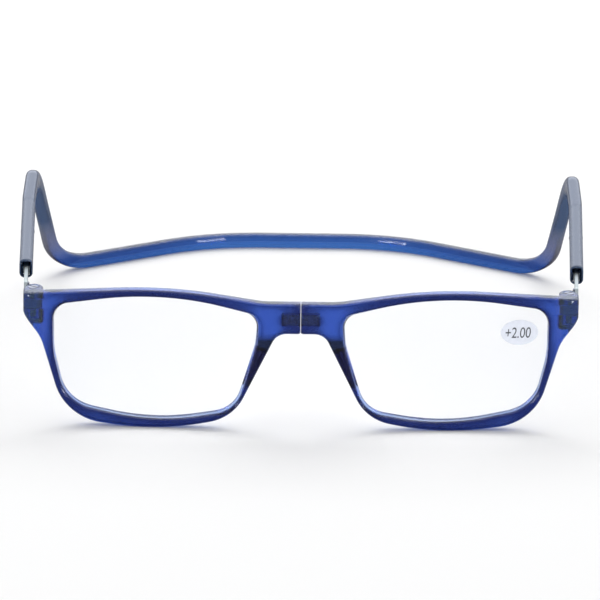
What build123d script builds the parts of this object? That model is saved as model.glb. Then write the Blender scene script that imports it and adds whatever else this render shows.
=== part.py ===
from build123d import *
import os
from math import asin, cos, radians, sin, sqrt, tan

# Click-together reading glasses with a wrap-around headband
# Millimetres, +Z up, +X to the viewer's right, and the front looks towards -Y.
# The glasses stand on the bottom of the rims and on the band behind the neck.
# Right-hand pieces are built, and the left-hand ones are their mirror images.

os.makedirs("parts", exist_ok=True)

# Overall sizes
OVERALL_DEPTH = 147.2  # from the bridge's face to the back of the band
FRONT_HEIGHT = 36.6
FACE_RADIUS = 900.0  # the front bends back gently towards the temples
RIM_DEPTH = 3.1
FRONT_BEVEL = 0.45
REAR_CHAMFER = 0.35
OVERRUN = 2.0  # how far a cut runs past what it cuts
FLAT_GAP = 0.05  # between flat faces that slide or seat
RUNNING_GAP = 0.03  # round a pin, a screw or a pressed-in piece

# Hinge lug at the outer end of each rim
PIN_X = 67.8
PIN_BEHIND_FACE = 7.8
EYE_RADIUS = 2.45
EYE_BELOW_LUG_TOP = 3.35
LUG_BELOW_BROW = 1.65
LUG_HEIGHT = 8.35
LUG_SIDE_HEIGHT = 5.65  # the upright outer side, above the slant to the cheek
LUG_ROUNDING_SHARE = 0.65  # of the rim's depth, at the outer front corner

# Bridge
BRIDGE_SEAM = 0.25  # between the two halves, which the magnets pull together
SEAM_NOTCH = 0.4  # a small V under the seam
BRIDGE_BELOW_BROW = 2.95
BRIDGE_HEIGHT = 7.95
BROW_START_X = 9.5
NOSE_TOP_X = 6.0

# Lens opening
OPENING_INNER_X = 11.0
OPENING_TO_SIDE = 7.65  # from the opening to the outer side of the lug
OPENING_BOTTOM = 2.6
BROW_HEIGHT = 2.1

# Corners of the opening: shares of its width and its height, then the share of the corner's
# shorter side that its rounding takes up
OPENING_CORNER_SHARES = (
    (0.477, 1.046, 0.610),
    (1.000, 0.918, 0.313),
    (0.998, 0.530, 0.234),
    (0.934, 0.107, 0.453),
    (0.506, -0.031, 0.532),
    (0.112, 0.075, 0.272),
    (0.010, 0.624, 0.220),
    (0.000, 0.865, 0.422),
)

# Corners of the rim: shares of the opening's width and of the front's height, and the rounding as above
BROW_PEAK_SHARES = (0.4376, 1.018, 0.524)
CHEEK_SHARES = (1.0611, 0.637, 0.291)
LOW_OUTER_SHARES = (0.9386, 0.052, 0.413)
LOW_MIDDLE_SHARES = (0.4635, -0.0237, 0.645)
LOW_INNER_SHARES = (0.1149, 0.082, 0.321)
BROW_START_SHARE = 0.194
NOSE_TOP_SHARE = 0.314

# Bevel round the front of the opening
BEVEL_DEPTH = 1.6
BEVEL_WIDTH = 0.5
NOSE_BEVEL_WIDTH = 1.75  # the slanted wall beside the nose

# Lens, snapped into a groove round the opening
LENS_IN_GROOVE = 0.55
LENS_FRONT_RADIUS = 320.0
LENS_REAR_RADIUS = 1100.0
LENS_BEHIND_FACE = 0.35
LENS_BEFORE_REAR = 0.35

# Strength film on the right lens
LABEL_FROM_OUTER_SIDE = 7.2  # from the opening's outer side and from its top
LABEL_BELOW_TOP = 8.3
LABEL_WIDTH = 9.5
LABEL_HEIGHT = 6.6
LABEL_THICKNESS = 0.1

# Bridge magnet
MAGNET_LENGTH = 4.6
MAGNET_HEIGHT = 3.1
MAGNET_WALL = 0.7  # of plastic before and behind it
MAGNET_BELOW_TOP = 4.25
MAGNET_SINK = 0.06

# Nose pad moulded behind the inner side of each rim
PAD_LENGTH = 11.5
PAD_WIDTH = 1.6
PAD_REACH = 3.8
PAD_SPREAD = 0.15
PAD_TIP_LENGTH_SHARE = 0.72
PAD_TIP_WIDTH_SHARE = 0.66
PAD_DOWN_NOSE_SHARE = 0.44  # of the rim's side along the nose
PAD_FROM_NOSE_EDGE = 0.95
PAD_TIP_CHAMFER = 0.25

# Hinge screw and its threaded insert
SCREW_RADIUS = 0.7
SCREW_HEAD_RADIUS = 1.3
SCREW_HEAD_HEIGHT = 0.8
SCREW_HEAD_PROUD = 0.15
SCREW_HEAD_CHAMFER = 0.12
SCREW_SLOT_WIDTH = 0.35
SCREW_SLOT_DEPTH = 0.35
SCREW_SLOT_TURN = 35.0  # degrees
INSERT_RADIUS = 1.3
INSERT_FLOOR = 1.05  # of plastic under it

# Temple arm: a flat steel strip with an eye at the hinge
SPREAD_ANGLE = 1.3  # degrees by which the temples part towards the ears
STRIP_ABOVE_EYE = 2.0
ARM_HEIGHT = 2.6
ARM_THICKNESS = 0.9
ARM_LENGTH = 56.5
ARM_TIP_RADIUS = 0.9
NECK_START = 2.6  # behind the pin, where the arm rises from its eye
NECK_END = 4.5
SLIDE_IN = 10.0  # how far the front can be pushed back from where it stands
SLIDE_OUT = 5.0  # and pulled forward

# Stop rivet, which meets the tube's mouth when the front is pushed right back
STOP_BEHIND_PIN = 6.5
STOP_RADIUS = 0.55
STOP_HEAD_HEIGHT = 0.45
STOP_SHANK_RADIUS = 0.35
STOP_TO_MOUTH_GAP = 0.275  # when the front is pushed right back

# Temple tube
TUBE_OUTBOARD = 0.1  # of the middle of the arm
TUBE_ABOVE_STRIP = 0.3
BORE_SIDE_ROOM = 0.8  # beside the arm on each side
BORE_HEIGHT_ROOM = 0.65  # above and below the arm, before the tube is raised
TUBE_SIDE_WALL = 0.45
TUBE_FLOOR_WALL = 0.5
TUBE_CORNER_SHARE = 0.41  # of the tube's width
BORE_CORNER = 0.4
MOUTH_CHAMFER = 0.2
BORE_END_ROOM = 0.8
SOLID_AFTER_BORE = 5.0

# Guide pin through the tube and through a slot in the arm
GUIDE_PIN_RADIUS = 0.45
GUIDE_PIN_PROUD = 0.1
GUIDE_SLOT_GAP = 0.06
SLOT_END_WALL = 2.6  # of steel between the slot and the arm's tip

# Band from ear to ear
BAND_WIDTH = 3.1
BAND_HEIGHT = 3.8
BAND_CORNER = 0.9
BAND_RIDGE = 0.3  # a shallow ridge along both sides of the band
SPREAD_RADIUS = 100.0
EAR_X = 71.3
EAR_BEHIND_FACE = 104.4
EAR_RADIUS = 13.5
LOW_CORNER_X = 66.0
LOW_CORNER_BEHIND_FACE = 122.2
LOW_CORNER_RADIUS = 14.8
NAPE_X = 24.9
NAPE_RADIUS = 50.9
DESCENT_RUN_ON = 1.0  # straight past each bend before the section changes

# Spring clip that grips the arm just inside the tube's mouth
CLIP_STEEL = 0.15
CLIP_FLOOR_GAP = 0.12
CLIP_HEIGHT = 2.3
CLIP_WAVES = 4
CLIP_WAVE_LENGTH = 1.7
CLIP_BEHIND_MOUTH = 0.7
CLIP_BEND_RADIUS = 0.12
CLIP_SWING_SHARE = 0.4

# Places worked out from the sizes above
face_y = -OVERALL_DEPTH / 2  # the front face at the bridge
face_axis_y = face_y + FACE_RADIUS
seam_x = BRIDGE_SEAM / 2
pin_y = face_y + PIN_BEHIND_FACE
lug_side_x = PIN_X + EYE_RADIUS
lug_face_y = face_axis_y - sqrt(FACE_RADIUS**2 - lug_side_x**2)
lug_top = FRONT_HEIGHT - LUG_BELOW_BROW
lug_bottom = lug_top - LUG_HEIGHT
bridge_top = FRONT_HEIGHT - BRIDGE_BELOW_BROW
bridge_underside = bridge_top - BRIDGE_HEIGHT
opening_width = lug_side_x - OPENING_TO_SIDE - OPENING_INNER_X
opening_height = FRONT_HEIGHT - OPENING_BOTTOM - BROW_HEIGHT
opening_middle_x = OPENING_INNER_X + opening_width / 2
lens_thickness = RIM_DEPTH - LENS_BEHIND_FACE - LENS_BEFORE_REAR
lens_turn = asin(opening_middle_x / FACE_RADIUS)
label_x = OPENING_INNER_X + opening_width - LABEL_FROM_OUTER_SIDE
label_z = OPENING_BOTTOM + opening_height - LABEL_BELOW_TOP
magnet_z = bridge_top - MAGNET_BELOW_TOP
magnet_thickness = RIM_DEPTH - 2 * MAGNET_WALL
eye_z = lug_top - EYE_BELOW_LUG_TOP
strip_z = eye_z + STRIP_ABOVE_EYE
tube_z = strip_z + TUBE_ABOVE_STRIP
screw_head_top = lug_top + SCREW_HEAD_PROUD
notch_half_height = ARM_HEIGHT / 2 + FLAT_GAP
insert_length = eye_z - notch_half_height - INSERT_FLOOR - lug_bottom
arm_offset = EYE_RADIUS - ARM_THICKNESS / 2
bore_width = ARM_THICKNESS + 2 * BORE_SIDE_ROOM
bore_height = ARM_HEIGHT + 2 * BORE_HEIGHT_ROOM
tube_width = bore_width + 2 * TUBE_SIDE_WALL
tube_height = bore_height + 2 * TUBE_FLOOR_WALL
mouth_behind_pin = STOP_BEHIND_PIN + STOP_RADIUS + STOP_TO_MOUTH_GAP + SLIDE_IN
slot_half_width = GUIDE_PIN_RADIUS + GUIDE_SLOT_GAP
guide_behind_pin = ARM_LENGTH - SLOT_END_WALL - slot_half_width - GUIDE_SLOT_GAP - SLIDE_OUT
bore_depth = ARM_LENGTH + SLIDE_IN + BORE_END_ROOM - mouth_behind_pin
front_plane = Plane.XZ.offset(-face_y)
lens_plane = Plane(
    origin=(opening_middle_x, face_axis_y - FACE_RADIUS * cos(lens_turn), 0),
    x_dir=(cos(lens_turn), sin(lens_turn), 0),
    z_dir=(sin(lens_turn), -cos(lens_turn), 0),
)
spread = radians(SPREAD_ANGLE)
along_arm = Vector(sin(spread), cos(spread), 0)
outboard = Vector(cos(spread), -sin(spread), 0)
pin_axis = Vector(PIN_X, pin_y, 0)
arm_side = Plane(origin=pin_axis, x_dir=along_arm, z_dir=outboard)
arm_plan = Plane(origin=pin_axis, x_dir=along_arm, z_dir=(0, 0, 1))
arm_middle = arm_side.offset(arm_offset)
tube_middle = arm_side.offset(arm_offset + TUBE_OUTBOARD)


def rounded_outline(corners):
    """A closed outline whose roundings take up a share of the shorter side at each corner."""
    points = [Vector(x, z) for x, z, reach_share in corners]
    radii = []
    for place, (x, z, reach_share) in enumerate(corners):
        before = points[place] - points[place - 1]
        after = points[(place + 1) % len(points)] - points[place]
        half_turn = radians(before.get_angle(after)) / 2
        radii.append(reach_share * min(before.length, after.length) / tan(half_turn))
    with BuildSketch(mode=Mode.PRIVATE) as shape:
        with BuildLine():
            FilletPolyline(*points, radius=radii, close=True)
        make_face()
    return shape.sketch


def rim_corner(shares):
    """A corner of the rim, from shares of the opening's width and the front's height."""
    x_share, z_share, reach_share = shares
    return OPENING_INNER_X + opening_width * x_share, FRONT_HEIGHT * z_share, reach_share


def silhouette():
    """The right half of the front seen from ahead, run past the seam and without its opening."""
    return rounded_outline((
        (-OVERRUN, bridge_top, 0),
        (BROW_START_X, bridge_top, BROW_START_SHARE),
        rim_corner(BROW_PEAK_SHARES),
        (lug_side_x, lug_top, 0),
        (lug_side_x, lug_top - LUG_SIDE_HEIGHT, 0),
        rim_corner(CHEEK_SHARES),
        rim_corner(LOW_OUTER_SHARES),
        rim_corner(LOW_MIDDLE_SHARES),
        rim_corner(LOW_INNER_SHARES),
        (NOSE_TOP_X, bridge_underside, NOSE_TOP_SHARE),
        (-OVERRUN, bridge_underside, 0),
    ))


def opening(grow=0.0, nose_grow=None):
    """The lens opening about its middle, grown all round and maybe more beside the nose."""
    inner_grow = grow if nose_grow is None else nose_grow
    width = opening_width + inner_grow + grow
    height = opening_height + 2 * grow
    corners = []
    for x_share, z_share, reach_share in OPENING_CORNER_SHARES:
        x = width * x_share - opening_width / 2 - inner_grow
        corners.append((x, OPENING_BOTTOM - grow + height * z_share, reach_share))
    return rounded_outline(corners)


def lens_ball_middle(radius, depth):
    """The middle of a ball whose surface lies this deep behind the middle of the face."""
    reach = FACE_RADIUS - depth - radius
    middle_z = OPENING_BOTTOM + opening_height / 2
    return (reach * sin(lens_turn), face_axis_y - reach * cos(lens_turn), middle_z)


def lens_body(grow, gap):
    """The lens, or with a gap the groove that it snaps into."""
    front = LENS_BEHIND_FACE - gap
    rear = LENS_BEHIND_FACE + lens_thickness + gap
    with BuildPart(mode=Mode.PRIVATE) as body:
        with BuildSketch(lens_plane):
            add(opening(grow + gap))
        extrude(amount=-(RIM_DEPTH + OVERRUN))
        with Locations(lens_ball_middle(LENS_FRONT_RADIUS, front)):
            Sphere(LENS_FRONT_RADIUS, mode=Mode.INTERSECT)
        with Locations(lens_ball_middle(-LENS_REAR_RADIUS, rear)):
            Sphere(LENS_REAR_RADIUS, mode=Mode.INTERSECT)
    return body.part


# Rim: half of the front, moulded in one piece with its brow, nose pad and hinge lug
def lug_block():
    """The lug behind the rim, inside the front's silhouette."""
    with BuildPart(mode=Mode.PRIVATE) as block:
        with BuildSketch(Plane.XY.offset(lug_bottom)):
            with Locations((PIN_X, pin_y)):
                Circle(EYE_RADIUS)
                Rectangle(
                    2 * EYE_RADIUS,
                    pin_y - lug_face_y - RIM_DEPTH / 2,
                    align=(Align.CENTER, Align.MAX),
                )
        extrude(amount=FRONT_HEIGHT - lug_bottom)
        with BuildSketch(front_plane):
            add(silhouette())
        extrude(amount=-(PIN_BEHIND_FACE + EYE_RADIUS + OVERRUN), mode=Mode.INTERSECT)
    return block.part


with BuildPart() as right_rim:
    with BuildSketch(Plane.XY):
        with Locations((0, face_axis_y)):
            Circle(FACE_RADIUS)
            Circle(FACE_RADIUS - RIM_DEPTH, mode=Mode.SUBTRACT)
        with Locations((-OVERRUN, face_y - OVERRUN)):
            Rectangle(
                OVERRUN + lug_side_x,
                OVERRUN + PIN_BEHIND_FACE,
                align=(Align.MIN, Align.MIN),
                mode=Mode.INTERSECT,
            )
    extrude(amount=FRONT_HEIGHT + OVERRUN)
    with BuildSketch(front_plane.offset(OVERRUN)):
        add(silhouette())
    extrude(amount=-(OVERRUN + PIN_BEHIND_FACE + OVERRUN), mode=Mode.INTERSECT)
    rear_face = right_rim.faces().sort_by(SortBy.AREA)[-2:].sort_by(Axis.Y)[-1]
    chamfer(rear_face.edges(), length=REAR_CHAMFER)
    add(lug_block())
    # the lug's outer corner is well rounded, and the whole front edge is bevelled round it
    outer_edges = right_rim.edges().filter_by(Axis.Z).group_by(Axis.X)[-1]
    fillet(outer_edges.sort_by(Axis.Y)[0], radius=RIM_DEPTH * LUG_ROUNDING_SHARE)
    front_face = right_rim.faces().sort_by(SortBy.AREA)[-2:].sort_by(Axis.Y)[0]
    smooth_edge = front_face.edges().filter_by(Axis.Z).sort_by(Axis.X)[-1]
    front_edges = front_face.edges().filter_by(lambda edge: edge.center() != smooth_edge.center())
    chamfer(front_edges, length=FRONT_BEVEL)
    split(bisect_by=Plane.YZ.offset(seam_x), keep=Keep.TOP)
    # the nose pad stands behind the rim's side along the nose and leans with it
    nose_top = Vector(NOSE_TOP_X, face_y + RIM_DEPTH - REAR_CHAMFER, bridge_underside)
    low_inner_x, low_inner_z = rim_corner(LOW_INNER_SHARES)[:2]
    nose_low = Vector(low_inner_x, nose_top.Y, low_inner_z)
    up_nose = (nose_top - nose_low).normalized()
    pad_root = Plane(
        origin=nose_top + (nose_low - nose_top) * PAD_DOWN_NOSE_SHARE,
        x_dir=up_nose,
        z_dir=(0, 1, 0),
    )
    with BuildSketch(pad_root):
        with Locations((0, PAD_FROM_NOSE_EDGE)):
            SlotOverall(PAD_LENGTH, PAD_WIDTH)
    with BuildSketch(pad_root.offset(REAR_CHAMFER + PAD_REACH)):
        with Locations((0, PAD_FROM_NOSE_EDGE + PAD_SPREAD)):
            SlotOverall(PAD_LENGTH * PAD_TIP_LENGTH_SHARE, PAD_WIDTH * PAD_TIP_WIDTH_SHARE)
    loft()
    pad_tip = right_rim.faces().filter_by(Axis.Y).sort_by(Axis.Y)[-1]
    chamfer(pad_tip.edges(), length=PAD_TIP_CHAMFER)
    # the lens opening, its bevel and the groove for the lens
    with BuildSketch(lens_plane.offset(OVERRUN)):
        add(opening())
    extrude(amount=-(2 * OVERRUN + RIM_DEPTH), mode=Mode.SUBTRACT)
    with BuildSketch(lens_plane):
        add(opening(BEVEL_WIDTH, NOSE_BEVEL_WIDTH))
    with BuildSketch(lens_plane.offset(-BEVEL_DEPTH)):
        add(opening())
    loft(mode=Mode.SUBTRACT)
    add(lens_body(LENS_IN_GROOVE, RUNNING_GAP), mode=Mode.SUBTRACT)
    # the notch that the arm's eye turns in, and the bores for the screw and its insert
    with BuildSketch(Plane.XY.offset(eye_z - notch_half_height)):
        with Locations((PIN_X, pin_y - EYE_RADIUS - FLAT_GAP)):
            Rectangle(
                2 * (EYE_RADIUS + OVERRUN),
                2 * EYE_RADIUS + OVERRUN,
                align=(Align.CENTER, Align.MIN),
            )
    extrude(amount=2 * notch_half_height, mode=Mode.SUBTRACT)
    with BuildSketch(Plane.XY.offset(lug_top + OVERRUN)):
        with Locations((PIN_X, pin_y)):
            Circle(SCREW_HEAD_RADIUS + RUNNING_GAP)
    extrude(amount=screw_head_top - SCREW_HEAD_HEIGHT - lug_top - OVERRUN, mode=Mode.SUBTRACT)
    with BuildSketch(Plane.XY.offset(lug_top)):
        with Locations((PIN_X, pin_y)):
            Circle(SCREW_RADIUS + RUNNING_GAP)
    extrude(amount=eye_z - lug_top, mode=Mode.SUBTRACT)
    with BuildSketch(Plane.XY.offset(eye_z)):
        with Locations((PIN_X, pin_y)):
            Circle(INSERT_RADIUS + RUNNING_GAP)
    extrude(amount=-(notch_half_height + insert_length + RUNNING_GAP), mode=Mode.SUBTRACT)
    # the pocket for the magnet, open at the seam, and the small notch under the seam
    with BuildSketch(Plane.YZ.offset(seam_x)):
        with Locations((face_y + RIM_DEPTH / 2, magnet_z)):
            Rectangle(magnet_thickness + 2 * RUNNING_GAP, MAGNET_HEIGHT + 2 * RUNNING_GAP)
    extrude(amount=MAGNET_SINK + MAGNET_LENGTH + RUNNING_GAP, mode=Mode.SUBTRACT)
    with BuildSketch(front_plane.offset(OVERRUN)):
        with Locations((0, bridge_underside)):
            Rectangle(sqrt(2) * (seam_x + SEAM_NOTCH), sqrt(2) * (seam_x + SEAM_NOTCH), rotation=45)
    extrude(amount=-(2 * OVERRUN + RIM_DEPTH), mode=Mode.SUBTRACT)
right_rim.part.label = "right_rim"

# Lens: clear acrylic, about +2.00 dioptres, with its edge in the rim's groove
with BuildPart() as right_lens:
    add(lens_body(LENS_IN_GROOVE, 0))
right_lens.part.label = "right_lens"

# Strength film: a thin oval stuck on the front of the lens
with BuildPart() as power_label:
    with BuildSketch(lens_plane.offset(OVERRUN)):
        with Locations((label_x - opening_middle_x, label_z)):
            Ellipse(LABEL_WIDTH / 2, LABEL_HEIGHT / 2)
    extrude(amount=-(OVERRUN + RIM_DEPTH))
    with Locations(lens_ball_middle(LENS_FRONT_RADIUS, LENS_BEHIND_FACE)):
        Sphere(LENS_FRONT_RADIUS + LABEL_THICKNESS, mode=Mode.INTERSECT)
    with Locations(lens_ball_middle(LENS_FRONT_RADIUS, LENS_BEHIND_FACE)):
        Sphere(LENS_FRONT_RADIUS, mode=Mode.SUBTRACT)
power_label.part.label = "power_label"

# Bridge magnet: a small block glued into its pocket
with BuildPart() as right_bridge_magnet:
    with BuildSketch(Plane.YZ.offset(seam_x + MAGNET_SINK)):
        with Locations((face_y + RIM_DEPTH / 2, magnet_z)):
            Rectangle(magnet_thickness, MAGNET_HEIGHT)
    extrude(amount=MAGNET_LENGTH)
right_bridge_magnet.part.label = "right_bridge_magnet"

# Hinge screw: a slotted head in the top of the lug and a shank down into the insert
with BuildPart() as right_hinge_screw:
    with BuildSketch(Plane.XY.offset(screw_head_top)):
        with Locations((PIN_X, pin_y)):
            Circle(SCREW_HEAD_RADIUS)
    extrude(amount=-SCREW_HEAD_HEIGHT)
    chamfer(right_hinge_screw.edges().sort_by(Axis.Z)[-1], length=SCREW_HEAD_CHAMFER)
    with BuildSketch(Plane.XY.offset(screw_head_top)):
        with Locations((PIN_X, pin_y)):
            Rectangle(2 * (SCREW_HEAD_RADIUS + OVERRUN), SCREW_SLOT_WIDTH, rotation=SCREW_SLOT_TURN)
    extrude(amount=-SCREW_SLOT_DEPTH, mode=Mode.SUBTRACT)
    with BuildSketch(Plane.XY.offset(screw_head_top - SCREW_HEAD_HEIGHT)):
        with Locations((PIN_X, pin_y)):
            Circle(SCREW_RADIUS)
    extrude(amount=eye_z - notch_half_height - insert_length - screw_head_top + SCREW_HEAD_HEIGHT)
right_hinge_screw.part.label = "right_hinge_screw"

# Threaded insert: a brass sleeve pressed into the lower half of the lug
with BuildPart() as right_hinge_insert:
    with BuildSketch(Plane.XY.offset(eye_z - notch_half_height)):
        with Locations((PIN_X, pin_y)):
            Circle(INSERT_RADIUS)
            Circle(SCREW_RADIUS + RUNNING_GAP, mode=Mode.SUBTRACT)
    extrude(amount=-insert_length)
right_hinge_insert.part.label = "right_hinge_insert"

# Temple arm: the eye, the neck that rises behind it and the strip with its guide slot
with BuildPart() as right_temple_arm:
    with BuildSketch(arm_middle.offset(-ARM_THICKNESS / 2)):
        with BuildLine():
            FilletPolyline(
                (0, eye_z - ARM_HEIGHT / 2),
                (NECK_START, eye_z - ARM_HEIGHT / 2),
                (NECK_END, strip_z - ARM_HEIGHT / 2),
                (ARM_LENGTH, strip_z - ARM_HEIGHT / 2),
                (ARM_LENGTH, strip_z + ARM_HEIGHT / 2),
                (NECK_END, strip_z + ARM_HEIGHT / 2),
                (NECK_START, eye_z + ARM_HEIGHT / 2),
                (0, eye_z + ARM_HEIGHT / 2),
                radius=(0, *[ARM_TIP_RADIUS] * 6, 0),
                close=True,
            )
        make_face()
        with Locations((guide_behind_pin + (SLIDE_OUT - SLIDE_IN) / 2, strip_z)):
            SlotCenterToCenter(
                SLIDE_IN + SLIDE_OUT + 2 * GUIDE_SLOT_GAP,
                2 * slot_half_width,
                mode=Mode.SUBTRACT,
            )
    extrude(amount=ARM_THICKNESS)
    with BuildSketch(arm_plan.offset(eye_z - ARM_HEIGHT / 2)):
        Circle(EYE_RADIUS)
    extrude(amount=ARM_HEIGHT)
    with BuildSketch(arm_plan.offset(eye_z - ARM_HEIGHT / 2 - OVERRUN)):
        Circle(SCREW_RADIUS + RUNNING_GAP)
    extrude(amount=ARM_HEIGHT + 2 * OVERRUN, mode=Mode.SUBTRACT)
    with BuildSketch(arm_middle):
        with Locations((STOP_BEHIND_PIN, strip_z)):
            Circle(STOP_SHANK_RADIUS)
    extrude(amount=ARM_THICKNESS, both=True, mode=Mode.SUBTRACT)
right_temple_arm.part.label = "right_temple_arm"

# Stop rivet: a bevelled head on the inner side of the arm, with its shank through the strip
with BuildPart() as right_stop_rivet:
    rivet_middle = arm_middle.offset(-ARM_THICKNESS / 2).from_local_coords((STOP_BEHIND_PIN, strip_z, 0))
    rivet_plane = Plane(origin=rivet_middle, x_dir=along_arm, z_dir=-outboard)
    with BuildSketch(rivet_plane):
        Circle(STOP_RADIUS)
    extrude(amount=STOP_HEAD_HEIGHT)
    chamfer(right_stop_rivet.faces().sort_by(Axis.X)[0].edges(), length=STOP_HEAD_HEIGHT / 2)
    with BuildSketch(rivet_plane):
        Circle(STOP_SHANK_RADIUS)
    extrude(amount=-ARM_THICKNESS)
right_stop_rivet.part.label = "right_stop_rivet"

# Guide pin: holds the arm in its tube and ends its travel at the slot's ends
with BuildPart() as right_guide_pin:
    with BuildSketch(tube_middle.offset(-tube_width / 2 - GUIDE_PIN_PROUD)):
        with Locations((guide_behind_pin, strip_z)):
            Circle(GUIDE_PIN_RADIUS)
    extrude(amount=tube_width + 2 * GUIDE_PIN_PROUD)
    chamfer(right_guide_pin.edges().filter_by(GeomType.CIRCLE), length=GUIDE_PIN_PROUD)
right_guide_pin.part.label = "right_guide_pin"

# Spring clip: one folded sheet with a wavy leaf on each side of the arm and a web under it
clip_start = mouth_behind_pin + CLIP_BEHIND_MOUTH
clip_bottom = tube_z - bore_height / 2 + CLIP_FLOOR_GAP
inner_wall = arm_offset + TUBE_OUTBOARD - bore_width / 2 + FLAT_GAP
outer_wall = arm_offset + TUBE_OUTBOARD + bore_width / 2 - FLAT_GAP
inner_side = arm_offset - ARM_THICKNESS / 2 - FLAT_GAP
outer_side = arm_offset + ARM_THICKNESS / 2 + FLAT_GAP
with BuildPart() as right_spring_clip:
    for wall, side in ((inner_wall, inner_side), (outer_wall, outer_side)):
        middle = (wall + side) / 2
        swing = (side - wall) / 2 * CLIP_SWING_SHARE
        zigzag = [
            (clip_start + step * CLIP_WAVE_LENGTH / 2, -(middle + swing * (-1) ** step))
            for step in range(2 * CLIP_WAVES + 1)
        ]
        with BuildSketch(arm_plan.offset(clip_bottom)):
            with BuildLine():
                FilletPolyline(*zigzag, radius=CLIP_BEND_RADIUS)
            trace(line_width=CLIP_STEEL)
        extrude(amount=CLIP_HEIGHT)
    with BuildSketch(arm_plan.offset(clip_bottom)):
        with Locations((clip_start, -(inner_wall + inner_side) / 2)):
            Rectangle(
                CLIP_WAVES * CLIP_WAVE_LENGTH,
                (outer_wall + outer_side - inner_wall - inner_side) / 2,
                align=(Align.MIN, Align.MAX),
            )
    extrude(amount=CLIP_STEEL)
right_spring_clip.part.label = "right_spring_clip"

# Headband: one springy moulding, a tube over each ear and a flat band round the neck
def band_section(plane):
    """The band's section: rounded corners and a shallow crisp ridge along both sides."""
    with BuildSketch(plane) as section:
        with BuildLine():
            FilletPolyline(
                (BAND_WIDTH / 2, 0),
                (BAND_WIDTH / 2 - BAND_RIDGE, BAND_HEIGHT / 2),
                (BAND_RIDGE - BAND_WIDTH / 2, BAND_HEIGHT / 2),
                (-BAND_WIDTH / 2, 0),
                (BAND_RIDGE - BAND_WIDTH / 2, -BAND_HEIGHT / 2),
                (BAND_WIDTH / 2 - BAND_RIDGE, -BAND_HEIGHT / 2),
                radius=(0, BAND_CORNER, BAND_CORNER, 0, BAND_CORNER, BAND_CORNER),
                close=True,
            )
        make_face()
    return section.sketch


def bend_length(before, corner, after, radius):
    """How far from a corner its arc of this radius begins."""
    turn = (corner - before).get_angle(after - corner)
    return radius * tan(radians(turn) / 2)


mouth_middle = tube_middle.from_local_coords((mouth_behind_pin, tube_z, 0))
straight_end = mouth_middle + along_arm * (bore_depth + SOLID_AFTER_BORE)
ear_bend = Vector(EAR_X, face_y + EAR_BEHIND_FACE, tube_z)
low_corner = Vector(LOW_CORNER_X, face_y + LOW_CORNER_BEHIND_FACE, BAND_HEIGHT / 2)
nape = Vector(NAPE_X, OVERALL_DEPTH / 2 - BAND_WIDTH / 2, BAND_HEIGHT / 2)
band_middle = Vector(0, nape.Y, nape.Z)
descent = (low_corner - ear_bend).normalized()
ear_reach = bend_length(straight_end, ear_bend, low_corner, EAR_RADIUS)
low_reach = bend_length(ear_bend, low_corner, nape, LOW_CORNER_RADIUS)
upper_end = ear_bend + descent * (ear_reach + DESCENT_RUN_ON)
lower_end = low_corner - descent * (low_reach + DESCENT_RUN_ON)
with BuildPart() as headband:
    with BuildLine() as temple_route:
        FilletPolyline(mouth_middle, straight_end, ear_bend, upper_end, radius=(SPREAD_RADIUS, EAR_RADIUS))
    temple_start = Plane(origin=mouth_middle, x_dir=outboard, z_dir=along_arm)
    with BuildSketch(temple_start, mode=Mode.PRIVATE) as tube_section:
        RectangleRounded(tube_width, tube_height, tube_width * TUBE_CORNER_SHARE)
    sweep(tube_section.sketch, path=temple_route.line)
    chamfer(headband.faces().sort_by_distance(mouth_middle)[0].edges(), length=MOUTH_CHAMFER)
    upper_face = headband.faces().sort_by_distance(upper_end)[0]
    with BuildLine() as band_route:
        FilletPolyline(band_middle, nape, low_corner, lower_end, radius=(NAPE_RADIUS, LOW_CORNER_RADIUS))
    band_start = Plane(origin=band_middle, x_dir=(0, 1, 0), z_dir=(1, 0, 0))
    sweep(band_section(band_start), path=band_route.line)
    lower_face = headband.faces().sort_by_distance(lower_end)[0]
    loft([upper_face, lower_face])
    with BuildSketch(temple_start):
        RectangleRounded(bore_width, bore_height, BORE_CORNER)
    extrude(amount=bore_depth, mode=Mode.SUBTRACT)
    with BuildSketch(tube_middle.offset(-tube_width)):
        with Locations((guide_behind_pin, strip_z)):
            Circle(GUIDE_PIN_RADIUS + RUNNING_GAP)
    extrude(amount=2 * tube_width, mode=Mode.SUBTRACT)
    mirror(about=Plane.YZ)
headband.part.label = "headband"

# The left-hand pieces, and the files
export_step(headband.part, "parts/headband.step")
export_step(power_label.part, "parts/power_label.step")
right_pieces = {
    "rim": right_rim,
    "lens": right_lens,
    "bridge_magnet": right_bridge_magnet,
    "hinge_screw": right_hinge_screw,
    "hinge_insert": right_hinge_insert,
    "temple_arm": right_temple_arm,
    "stop_rivet": right_stop_rivet,
    "guide_pin": right_guide_pin,
    "spring_clip": right_spring_clip,
}
for name, right_piece in right_pieces.items():
    with BuildPart() as left_piece:
        mirror(right_piece.part, about=Plane.YZ)
    left_piece.part.label = "left_" + name
    export_step(right_piece.part, "parts/right_" + name + ".step")
    export_step(left_piece.part, "parts/left_" + name + ".step")
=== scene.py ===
import bmesh
import bpy
from math import cos, radians, sin, sqrt
from mathutils import Matrix, Vector


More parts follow.
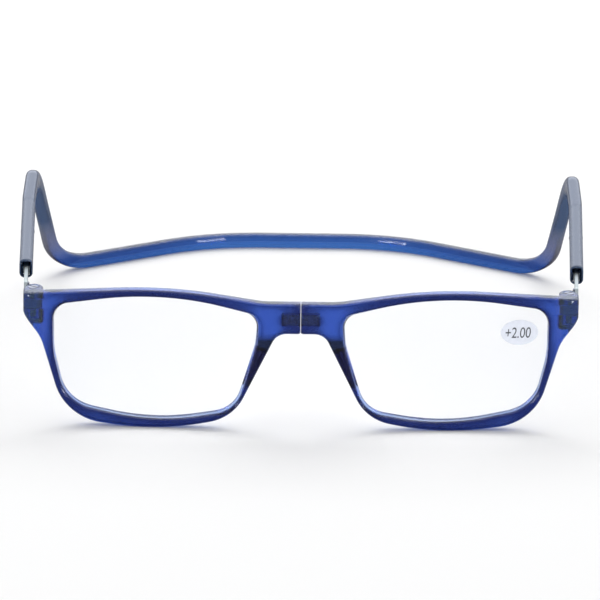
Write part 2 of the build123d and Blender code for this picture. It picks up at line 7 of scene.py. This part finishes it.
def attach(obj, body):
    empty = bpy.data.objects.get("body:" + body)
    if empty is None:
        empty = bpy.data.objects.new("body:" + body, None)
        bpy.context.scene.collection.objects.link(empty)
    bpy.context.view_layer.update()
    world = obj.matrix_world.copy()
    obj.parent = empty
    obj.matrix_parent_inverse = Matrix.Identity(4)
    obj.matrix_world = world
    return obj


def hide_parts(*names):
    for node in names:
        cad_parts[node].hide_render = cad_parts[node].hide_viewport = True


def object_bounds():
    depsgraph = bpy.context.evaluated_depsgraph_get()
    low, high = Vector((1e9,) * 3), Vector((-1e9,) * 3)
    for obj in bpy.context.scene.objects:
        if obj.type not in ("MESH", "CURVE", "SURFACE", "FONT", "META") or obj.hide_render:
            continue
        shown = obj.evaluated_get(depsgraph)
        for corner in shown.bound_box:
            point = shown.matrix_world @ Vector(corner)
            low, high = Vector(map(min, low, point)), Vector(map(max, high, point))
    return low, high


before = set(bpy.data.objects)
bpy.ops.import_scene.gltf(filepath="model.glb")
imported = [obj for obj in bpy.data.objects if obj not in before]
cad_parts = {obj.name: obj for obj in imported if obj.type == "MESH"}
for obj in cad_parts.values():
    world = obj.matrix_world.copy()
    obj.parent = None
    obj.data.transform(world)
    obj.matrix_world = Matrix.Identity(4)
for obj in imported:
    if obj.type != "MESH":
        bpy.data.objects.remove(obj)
cad_low, cad_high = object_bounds()

# Camera
# The glasses are seen from straight ahead and 19 degrees above, from about two metres away, with
# the picture turned very slightly clockwise and shifted by one pixel. It looks at the front, at
# 35 mm above the table.
view_distance = 2.0
view_down = radians(19)
view_roll = radians(0.7)
view_height = 0.035
view_target = Vector((0, cad_low.y, view_height))
picture_width = 600
picture_pixels_per_metre = 3964
picture_shift = 1 / picture_width
sensor_width = 36
view_nearest, view_farthest = 0.1, 20

forward = Vector((0, cos(view_down), -sin(view_down)))
level_right = Vector((1, 0, 0))
level_up = level_right.cross(forward)
camera_right = level_right * cos(view_roll) + level_up * sin(view_roll)
camera_up = level_up * cos(view_roll) - level_right * sin(view_roll)
camera_data = bpy.data.cameras.new("camera")
camera_data.sensor_width = sensor_width
camera_data.lens = sensor_width * picture_pixels_per_metre * view_distance / picture_width
camera_data.shift_x = -picture_shift
camera_data.clip_start = view_nearest
camera_data.clip_end = view_farthest
camera_data.dof.use_dof = False
camera = bpy.data.objects.new("camera", camera_data)
turn = Matrix((camera_right, camera_up, -forward)).transposed().to_4x4()
camera.matrix_world = Matrix.Translation(view_target - forward * view_distance) @ turn
bpy.context.scene.collection.objects.link(camera)
bpy.context.scene.camera = camera


# Front: two mirror-image halves
# Each half is injection moulded in transparent royal blue plastic, polished all over, with the
# brow, the lens rim, the nose pad and the hinge lug in one piece. Its broad cheeks are bright
# blue.
# Its narrow bars are painted navy and the sides of the nose nearly black, as painted shade, and
# the lugs are painted a lighter, less clear blue, as painted light.
clear_tint = (0.98, 0.985, 1, 1)
plastic_ior = 1.5
smoothest_share, roughest_share = 0.5, 1.5
smoothing_samples = 8
roomy, cramped = 0.90, 0.60
noise_low, noise_high = 0.3, 0.7


def new_material(name):
    """A node material with its tree and its Principled shader, ready to be wired."""
    material = bpy.data.materials.new(name)
    material.use_nodes = True
    tree = material.node_tree
    return material, tree, tree.nodes["Principled BSDF"]


def feed(tree, value, socket):
    """Links another node's output to the socket, or sets a fixed value on it."""
    if isinstance(value, bpy.types.NodeSocket):
        tree.links.new(value, socket)
    else:
        socket.default_value = value


def noise(tree, scale, detail=3.0, stretch=(1, 1, 1)):
    """Noise in object coordinates, stretched where the marks of making run one way."""
    coordinates = tree.nodes.new("ShaderNodeTexCoord")
    mapping = tree.nodes.new("ShaderNodeMapping")
    mapping.inputs["Scale"].default_value = stretch
    texture = tree.nodes.new("ShaderNodeTexNoise")
    texture.inputs["Scale"].default_value = scale
    texture.inputs["Detail"].default_value = detail
    tree.links.new(coordinates.outputs["Object"], mapping.inputs["Vector"])
    tree.links.new(mapping.outputs["Vector"], texture.inputs["Vector"])
    return texture.outputs["Fac"]


def spread(tree, value, start, end, low=0.0, high=1.0):
    """The value's way from start to end, laid out from low to high and held beyond them."""
    laid_out = tree.nodes.new("ShaderNodeMapRange")
    laid_out.inputs["From Min"].default_value = start
    laid_out.inputs["From Max"].default_value = end
    laid_out.inputs["To Min"].default_value = low
    laid_out.inputs["To Max"].default_value = high
    tree.links.new(value, laid_out.inputs["Value"])
    return laid_out.outputs["Result"]


def varied(tree, marks, low, high):
    """The noise of the marks, laid out over a range of values."""
    return spread(tree, marks, noise_low, noise_high, low, high)


def relief(tree, shader, source, strength, height):
    """Bumps of this height in metres from the source."""
    bump = tree.nodes.new("ShaderNodeBump")
    bump.inputs["Strength"].default_value = strength
    bump.inputs["Distance"].default_value = height
    tree.links.new(source, bump.inputs["Height"])
    tree.links.new(bump.outputs["Normal"], shader.inputs["Normal"])
    return bump


def product(tree, first, second):
    """Two shares multiplied."""
    multiply = tree.nodes.new("ShaderNodeMath")
    multiply.operation = "MULTIPLY"
    tree.links.new(first, multiply.inputs[0])
    tree.links.new(second, multiply.inputs[1])
    return multiply.outputs[0]


def tinted(tree, share, colour, tint, way="MIX"):
    """A colour with a tint laid over it by the share."""
    mix = tree.nodes.new("ShaderNodeMix")
    mix.data_type = "RGBA"
    mix.blend_type = way
    feed(tree, share, mix.inputs["Factor"])
    feed(tree, colour, mix.inputs["A"])
    feed(tree, tint, mix.inputs["B"])
    return mix.outputs["Result"]


def stops(tree, share, colours):
    """Colours at their places along a share that runs from 0 to 1."""
    ramp = tree.nodes.new("ShaderNodeValToRGB")
    elements = ramp.color_ramp.elements
    first, *middle, last = colours
    for element, (place, colour) in zip(elements, (first, last)):
        element.position = place
        element.color = colour
    for place, colour in middle:
        elements.new(place).color = colour
    tree.links.new(share, ramp.inputs["Fac"])
    return ramp.outputs["Color"]


def places(tree):
    """The point in object coordinates, how far it is from the middle plane, and its height."""
    coordinates = tree.nodes.new("ShaderNodeTexCoord")
    parts = tree.nodes.new("ShaderNodeSeparateXYZ")
    outwards = tree.nodes.new("ShaderNodeMath")
    outwards.operation = "ABSOLUTE"
    tree.links.new(coordinates.outputs["Object"], parts.inputs["Vector"])
    tree.links.new(parts.outputs["X"], outwards.inputs[0])
    return coordinates.outputs["Object"], outwards.outputs[0], parts.outputs["Z"]


def clear_blue_plastic(name, absorbed, density, roughness, edge_width, reach):
    """Transparent plastic, coloured by its thickness, with a share of painted shade where its
    sides are close together.
    """
    material, tree, shader = new_material(name)
    shader.inputs["Transmission Weight"].default_value = 1
    shader.inputs["IOR"].default_value = plastic_ior
    wear = varied(
        tree,
        noise(tree, scale=140, detail=4),
        low=roughness * smoothest_share,
        high=roughness * roughest_share,
    )
    tree.links.new(wear, shader.inputs["Roughness"])
    ripples = relief(tree, shader, noise(tree, scale=260), strength=0.12, height=0.00002)
    soft_edge = tree.nodes.new("ShaderNodeBevel")
    soft_edge.samples = smoothing_samples
    soft_edge.inputs["Radius"].default_value = edge_width
    tree.links.new(soft_edge.outputs["Normal"], ripples.inputs["Normal"])
    # Painted shade: a share that grows where the plastic's sides are close round the point, found
    # by occlusion inside it.
    nearness = tree.nodes.new("ShaderNodeAmbientOcclusion")
    nearness.inside = True
    nearness.only_local = True
    nearness.samples = smoothing_samples
    nearness.inputs["Distance"].default_value = reach
    narrow_shade_share = spread(tree, nearness.outputs["AO"], start=roomy, end=cramped)
    absorption = tree.nodes.new("ShaderNodeVolumeAbsorption")
    absorption.inputs["Color"].default_value = absorbed
    absorption.inputs["Density"].default_value = density
    output = tree.nodes["Material Output"]
    tree.links.new(absorption.outputs["Volume"], output.inputs["Volume"])
    return material, tree, shader, narrow_shade_share


def finish_node(node, material):
    """Gives a CAD node its material in every slot."""
    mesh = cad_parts[node].data
    if not mesh.materials:
        mesh.materials.append(material)
    for place in range(len(mesh.materials)):
        mesh.materials[place] = material


face_radius = 0.9
face_skin_start, face_skin_end = 0.0009, 0.0005
# Painted shade: the front skin of the narrow bars is painted navy where the plastic's sides are
# close together, fading towards the lugs.
bar_painted_shade = (0.05, 0.045, 0.09, 1)
bar_fade_start, bar_fade_end = 0.063, 0.066
bar_share_at_lug = 0.2
# Painted shade: near the middle, on the front skin and over a band of heights, the sides of the
# nose are painted nearly black.
nose_painted_shade = (0.02, 0.02, 0.012, 1)
nose_outside, nose_inside = 0.016, 0.013
nose_top = 0.030
nose_shares = ((0.50, 0), (0.68, 0.5), (0.72, 1), (0.80, 1), (0.87, 0))
# Painted light: the lugs are painted a lighter blue and let a little less light straight through,
# which lightens them.
lug_painted_light = (0.30, 0.58, 0.98, 1)
lug_start, lug_end = 0.0640, 0.0665
lug_clearness = 0.94

front_plastic, tree, shader, narrow_shade_share = clear_blue_plastic(
    "front_plastic",
    absorbed=(0.04, 0.33, 0.78, 1),
    density=1150,
    roughness=0.03,
    edge_width=0.0012,
    reach=0.0027,
)
point, outwards, height = places(tree)
from_face_axis = tree.nodes.new("ShaderNodeVectorMath")
from_face_axis.operation = "MULTIPLY_ADD"
from_face_axis.inputs[1].default_value = (1, 1, 0)
from_face_axis.inputs[2].default_value = (0, -(cad_low.y + face_radius), 0)
face_distance = tree.nodes.new("ShaderNodeVectorMath")
face_distance.operation = "LENGTH"
tree.links.new(point, from_face_axis.inputs[0])
tree.links.new(from_face_axis.outputs["Vector"], face_distance.inputs[0])
frontness = spread(
    tree,
    face_distance.outputs["Value"],
    face_radius - face_skin_start,
    face_radius - face_skin_end,
)
bar_fade = spread(
    tree, outwards, bar_fade_start, bar_fade_end, low=1, high=bar_share_at_lug
)
bar_shade_share = product(tree, product(tree, frontness, narrow_shade_share), bar_fade)
nose_height_share = stops(
    tree,
    spread(tree, height, start=0, end=nose_top),
    [(place, (depth, depth, depth, 1)) for place, depth in nose_shares],
)
nose_width_share = spread(tree, outwards, nose_outside, nose_inside)
nose_shade_share = product(tree, product(tree, nose_width_share, nose_height_share), frontness)
lug_light_share = spread(tree, outwards, lug_start, lug_end)
# The front's colour: clear, with painted shade on the narrow bars and the sides of the nose, and
# painted light on the lugs.
front_colour = tinted(tree, bar_shade_share, clear_tint, bar_painted_shade)
front_colour = tinted(tree, nose_shade_share, front_colour, nose_painted_shade)
front_colour = tinted(tree, lug_light_share, front_colour, lug_painted_light)
tree.links.new(front_colour, shader.inputs["Base Color"])
front_clearness = spread(tree, lug_light_share, start=0, end=1, low=1, high=lug_clearness)
tree.links.new(front_clearness, shader.inputs["Transmission Weight"])

# The solids stand apart at the bridge by the slides' play. The magnets draw the real halves
# nearly shut.
shut_half_gap = 0.00006
weld_distance = 0.0000001
seam_tolerance = 0.000001
for side in ("left", "right"):
    moulding = bmesh.new()
    moulding.from_mesh(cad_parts[side + "_rim"].data)
    bmesh.ops.remove_doubles(moulding, verts=moulding.verts, dist=weld_distance)
    half_gap = min(abs(vertex.co.x) for vertex in moulding.verts)
    for vertex in moulding.verts:
        if abs(vertex.co.x) < half_gap + seam_tolerance:
            vertex.co.x *= shut_half_gap / half_gap
    for face in moulding.faces:
        face.smooth = False
    half_mesh = bpy.data.meshes.new(side + "_half_front")
    moulding.to_mesh(half_mesh)
    moulding.free()
    half_mesh.materials.append(front_plastic)
    half_front = bpy.data.objects.new(side + "_half_front", half_mesh)
    bpy.context.scene.collection.objects.link(half_front)
    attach(half_front, side + "_front")
    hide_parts(side + "_rim")


# Lenses
# Clear acrylic reading lenses of about +2.00 dioptres, polished, with their edges in the grooves
# of the rims. They are too clear to cast a shadow that would be seen.
acrylic_ior = 1.49
polish_end = 0.012
lens_acrylic, tree, shader = new_material("lens_acrylic")
shader.inputs["Base Color"].default_value = (0.97, 0.98, 1, 1)
shader.inputs["Transmission Weight"].default_value = 1
shader.inputs["IOR"].default_value = acrylic_ior
polish = varied(tree, noise(tree, scale=60, detail=5), low=0, high=polish_end)
tree.links.new(polish, shader.inputs["Roughness"])
for side in ("left", "right"):
    finish_node(side + "_lens", lens_acrylic)
    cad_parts[side + "_lens"].visible_shadow = False


# Strength label
# A thin oval of lavender film, punched out and stuck on the front of the right lens.
# Its satin face hardly mirrors anything, so that the print can be read.
film_dark = (0.60, 0.63, 0.70, 1)
film_pale = (0.66, 0.69, 0.77, 1)
film_gloss = 0.05
label_film, tree, shader = new_material("label_film")
mottle = varied(tree, noise(tree, scale=900, detail=6), low=0, high=1)
tree.links.new(tinted(tree, mottle, film_dark, film_pale), shader.inputs["Base Color"])
satin = varied(tree, noise(tree, scale=2500, detail=2), low=0.35, high=0.5)
tree.links.new(satin, shader.inputs["Roughness"])
relief(tree, shader, noise(tree, scale=1800), strength=0.2, height=0.00001)
shader.inputs["Specular IOR Level"].default_value = film_gloss
finish_node("power_label", label_film)


# Strength figures
# The strength, printed in dark grey ink on the film, in narrow and slightly slanted figures.
# They are laid on the ball that the film's front is a part of.
film_ball_middle = Vector((0.0237, 0.247235, 0.01855))
film_ball_radius = 0.3201
figures_middle = Vector((0.05503, 0.02615))
figures_width = 0.0064
figures_height = 0.0028
figures_slant = 0.12
ink_thickness = 0.00002
print_ink, tree, shader = new_material("print_ink")
shader.inputs["Base Color"].default_value = (0.055, 0.06, 0.07, 1)
dryness = varied(tree, noise(tree, scale=1500, detail=4), low=0.4, high=0.65)
tree.links.new(dryness, shader.inputs["Roughness"])
relief(tree, shader, noise(tree, scale=2200), strength=0.3, height=0.00001)

font_curve = bpy.data.curves.new("strength_figures", "FONT")
font_curve.body = "+2.00"
font_curve.shear = figures_slant
font_curve.extrude = 1
lettering = bpy.data.objects.new("strength_lettering", font_curve)
figures_mesh = bpy.data.meshes.new_from_object(lettering)
bpy.data.objects.remove(lettering)
points = [point.co.copy() for point in figures_mesh.vertices]
low_u, high_u = min(point.x for point in points), max(point.x for point in points)
low_v, high_v = min(point.y for point in points), max(point.y for point in points)
for vertex, point in zip(figures_mesh.vertices, points):
    x = figures_middle.x + figures_width * ((point.x - low_u) / (high_u - low_u) - 0.5)
    z = figures_middle.y + figures_height * ((point.y - low_v) / (high_v - low_v) - 0.5)
    radius = film_ball_radius + (ink_thickness if point.z > 0 else -ink_thickness)
    depth = sqrt(radius**2 - (x - film_ball_middle.x)**2 - (z - film_ball_middle.z)**2)
    vertex.co = (x, film_ball_middle.y - depth, z)
figures_mesh.materials.clear()
figures_mesh.materials.append(print_ink)
strength_figures = bpy.data.objects.new("strength_figures", figures_mesh)
bpy.context.scene.collection.objects.link(strength_figures)
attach(strength_figures, "right_front")


# Bridge magnets
# Small nickel-plated blocks, one glued into a pocket in each half of the bridge. They pull the
# halves together.
dull_share = 0.82


def metal(name, colour, low_roughness, high_roughness, grain, stretch, height):
    """Bare metal whose fine marks run the way that it was drawn, turned or rolled."""
    material, tree, shader = new_material(name)
    shader.inputs["Metallic"].default_value = 1
    marks = noise(tree, scale=grain, detail=5, stretch=stretch)
    dull = (*[part * dull_share for part in colour], 1)
    shade = tinted(tree, varied(tree, marks, low=0, high=1), dull, (*colour, 1))
    tree.links.new(shade, shader.inputs["Base Color"])
    roughness = varied(tree, marks, low_roughness, high_roughness)
    tree.links.new(roughness, shader.inputs["Roughness"])
    relief(tree, shader, marks, strength=0.25, height=height)
    return material


# The plating is painted bluer and lighter than nickel: painted light that stands in for the blue
# light of the plastic round the blocks.
magnet_plating = metal(
    "magnet_plating",
    colour=(0.66, 0.78, 0.98),
    low_roughness=0.2,
    high_roughness=0.35,
    grain=900,
    stretch=(1, 1, 1),
    height=0.00001,
)
for side in ("left", "right"):
    finish_node(side + "_bridge_magnet", magnet_plating)


# Hinges
# A slotted steel screw runs down through the lug and the arm's eye into a turned brass insert
# that is pressed into the lug under the eye.
bright_steel = metal(
    "bright_steel",
    colour=(0.27, 0.28, 0.31),
    low_roughness=0.12,
    high_roughness=0.24,
    grain=1400,
    stretch=(1, 1, 1),
    height=0.000005,
)
insert_brass = metal(
    "insert_brass",
    colour=(0.80, 0.66, 0.42),
    low_roughness=0.22,
    high_roughness=0.4,
    grain=1600,
    stretch=(1, 1, 0.2),
    height=0.00004,
)
for side in ("left", "right"):
    finish_node(side + "_hinge_screw", bright_steel)
    finish_node(side + "_hinge_insert", insert_brass)


# Temple arms
# Flat strips of drawn steel that slide in the headband's tubes. A domed rivet through each one
# stops it at the tube's mouth.
strip_steel = metal(
    "strip_steel",
    colour=(0.30, 0.33, 0.32),
    low_roughness=0.24,
    high_roughness=0.42,
    grain=2600,
    stretch=(1, 0.04, 1),
    height=0.000008,
)
for side in ("left", "right"):
    finish_node(side + "_temple_arm", strip_steel)
    finish_node(side + "_stop_rivet", bright_steel)


# Spring clips and guide pins
# Each clip is bright rolled spring strip, folded into two wavy leaves that grip the arm inside
# the tube's mouth. The pin crosses the tube and ends the arm's travel in its slot.
spring_steel = metal(
    "spring_steel",
    colour=(0.72, 0.73, 0.74),
    low_roughness=0.14,
    high_roughness=0.3,
    grain=2200,
    stretch=(1, 0.1, 1),
    height=0.000005,
)
for side in ("left", "right"):
    finish_node(side + "_spring_clip", spring_steel)
    finish_node(side + "_guide_pin", bright_steel)


# Headband
# One long springy moulding in a smokier blue plastic, left glossy from the mould: a hazy tube over
# each ear that holds an arm, a bend behind the ear, and a clear ridged band round the neck.
band_gloss = 0.14
# Painted shade: the band is painted darker where its sides are close together.
band_painted_shade = (0.12, 0.17, 0.30, 1)
haze_tint = (0.075, 0.12, 0.22, 1)
haze_start, haze_end = 0.004, 0.018
tube_clearness = 0.45
# Painted shade: the band is painted greyer and darker towards the bends behind the ears.
bend_painted_shade = (0.80, 0.78, 0.83, 1)
bend_start, bend_end = 0.022, 0.046
band_height = 0.005
# Painted highlight and painted shade in strips up the band's height: a light line along the ridge,
# painted shade over the upper facet, less over the lower one, and lighter again higher up.
facet_light_and_shade = (
    (0.36, (0.72, 0.86, 0.97, 1)),
    (0.375, (1, 1, 1, 1)),
    (0.41, (1, 1, 1, 1)),
    (0.43, (0.40, 0.50, 0.66, 1)),
    (0.74, (0.46, 0.55, 0.70, 1)),
    (1.0, (0.9, 0.9, 0.95, 1)),
)
band_plastic, tree, shader, narrow_shade_share = clear_blue_plastic(
    "band_plastic",
    absorbed=(0.08, 0.42, 0.76, 1),
    density=1100,
    roughness=0.04,
    edge_width=0.0013,
    reach=0.0016,
)
point, outwards, height = places(tree)
haze = spread(tree, height, haze_start, haze_end)
bend_shade_share = spread(tree, outwards, bend_start, bend_end)
painted_facet_strips = stops(tree, spread(tree, height, start=0, end=band_height), facet_light_and_shade)
# The band's colour: painted shade where it is narrow, painted highlight and shade in strips by
# height, and painted shade towards the bends, with the tubes' haze laid over them.
band_colour = tinted(tree, narrow_shade_share, clear_tint, band_painted_shade)
band_colour = tinted(tree, 1, band_colour, painted_facet_strips, "MULTIPLY")
band_colour = tinted(tree, bend_shade_share, band_colour, bend_painted_shade, "MULTIPLY")
band_colour = tinted(tree, haze, band_colour, haze_tint)
tree.links.new(band_colour, shader.inputs["Base Color"])
band_clearness = spread(tree, haze, start=0, end=1, low=1, high=tube_clearness)
tree.links.new(band_clearness, shader.inputs["Transmission Weight"])
shader.inputs["Specular IOR Level"].default_value = band_gloss
finish_node("headband", band_plastic)


# Table and light
# A pale table that runs out to white, under a soft white dome and one large overhead lamp.
# Mirrored in the polished plastic, the table and the studio round it are much darker, apart from
# a softbox overhead. Two lamps before the glasses, one on each side, show in reflections only.
table_size = 6.0
table_roughness = 0.9
table_gloss = 0.2
table_pale = (0.93, 0.93, 0.93, 1)
table_mirrored = (0.30, 0.30, 0.32, 1)
plain_white = (1, 1, 1, 1)
cool_white = (0.86, 0.90, 1, 1)
dark_studio_strength = 0.5
bpy.ops.mesh.primitive_plane_add(size=table_size, location=(0, 0, 0))
table = bpy.context.object
table.name = "table"
table_paint, tree, shader = new_material("table_paint")
shader.inputs["Roughness"].default_value = table_roughness
shader.inputs["Specular IOR Level"].default_value = table_gloss
rays = tree.nodes.new("ShaderNodeLightPath")
mirrored = tree.nodes.new("ShaderNodeMath")
mirrored.operation = "SUBTRACT"
mirrored.use_clamp = True
tree.links.new(rays.outputs["Is Glossy Ray"], mirrored.inputs[0])
tree.links.new(rays.outputs["Is Transmission Ray"], mirrored.inputs[1])
table_colour = tinted(tree, mirrored.outputs[0], table_pale, table_mirrored)
tree.links.new(table_colour, shader.inputs["Base Color"])
table.data.materials.append(table_paint)

world = bpy.data.worlds.new("studio")
bpy.context.scene.world = world
world.use_nodes = True
tree = world.node_tree


def brightening(tree, direction, start, end, low, high):
    """A strength that rises from low to high towards a direction."""
    coordinates = tree.nodes.new("ShaderNodeTexCoord")
    towards = tree.nodes.new("ShaderNodeVectorMath")
    towards.operation = "DOT_PRODUCT"
    towards.inputs[1].default_value = direction
    tree.links.new(coordinates.outputs["Generated"], towards.inputs[0])
    return spread(tree, towards.outputs["Value"], start, end, low, high)


def backdrop(tree, colour, strength):
    """A plain background of this colour and strength."""
    background = tree.nodes.new("ShaderNodeBackground")
    background.inputs["Color"].default_value = colour
    feed(tree, strength, background.inputs["Strength"])
    return background.outputs[0]


def either(tree, share, first, second):
    """The first light, or the second by the share."""
    mix = tree.nodes.new("ShaderNodeMixShader")
    tree.links.new(share, mix.inputs["Fac"])
    tree.links.new(first, mix.inputs[1])
    tree.links.new(second, mix.inputs[2])
    return mix.outputs[0]


dome_strength = brightening(
    tree, direction=(0, 0.8, 0.6), start=-0.1, end=1, low=0.40, high=1.15
)
softbox_strength = brightening(
    tree, direction=(0, 0.62, 0.78), start=-0.2, end=0.85, low=0.25, high=2.1
)
dome = backdrop(tree, plain_white, dome_strength)
softbox = backdrop(tree, cool_white, softbox_strength)
white = backdrop(tree, plain_white, 1)
dark_studio = backdrop(tree, plain_white, dark_studio_strength)
rays = tree.nodes.new("ShaderNodeLightPath")
seen_through = either(tree, rays.outputs["Glossy Depth"], white, dark_studio)
sky = either(tree, rays.outputs["Is Glossy Ray"], dome, softbox)
sky = either(tree, rays.outputs["Is Transmission Ray"], sky, seen_through)
sky = either(tree, rays.outputs["Diffuse Depth"], sky, dome)
sky = either(tree, rays.outputs["Is Camera Ray"], sky, white)
tree.links.new(sky, tree.nodes["World Output"].inputs["Surface"])


def area_lamp(name, place, width, length, power):
    """A rectangular lamp that is turned to the glasses."""
    lamp_data = bpy.data.lights.new(name, "AREA")
    lamp_data.shape = "RECTANGLE"
    lamp_data.size = width
    lamp_data.size_y = length
    lamp_data.energy = power
    lamp = bpy.data.objects.new(name, lamp_data)
    lamp.location = place
    lamp.rotation_mode = "QUATERNION"
    lamp.rotation_quaternion = place.to_track_quat("Z", "Y")
    bpy.context.scene.collection.objects.link(lamp)
    return lamp_data


overhead = area_lamp("overhead", Vector((0, 0.5, 0.75)), width=0.9, length=0.6, power=3.4)
overhead.specular_factor = 0.3
for side, tag in ((-1, "left"), (1, "right")):
    place = Vector((side * 1.0, -1.75, 0.15))
    strip_lamp = area_lamp("strip_lamp_" + tag, place, width=0.6, length=0.5, power=16)
    strip_lamp.diffuse_factor = 0
    strip_lamp.transmission_factor = 0

bpy.context.scene.view_settings.view_transform = "Standard"
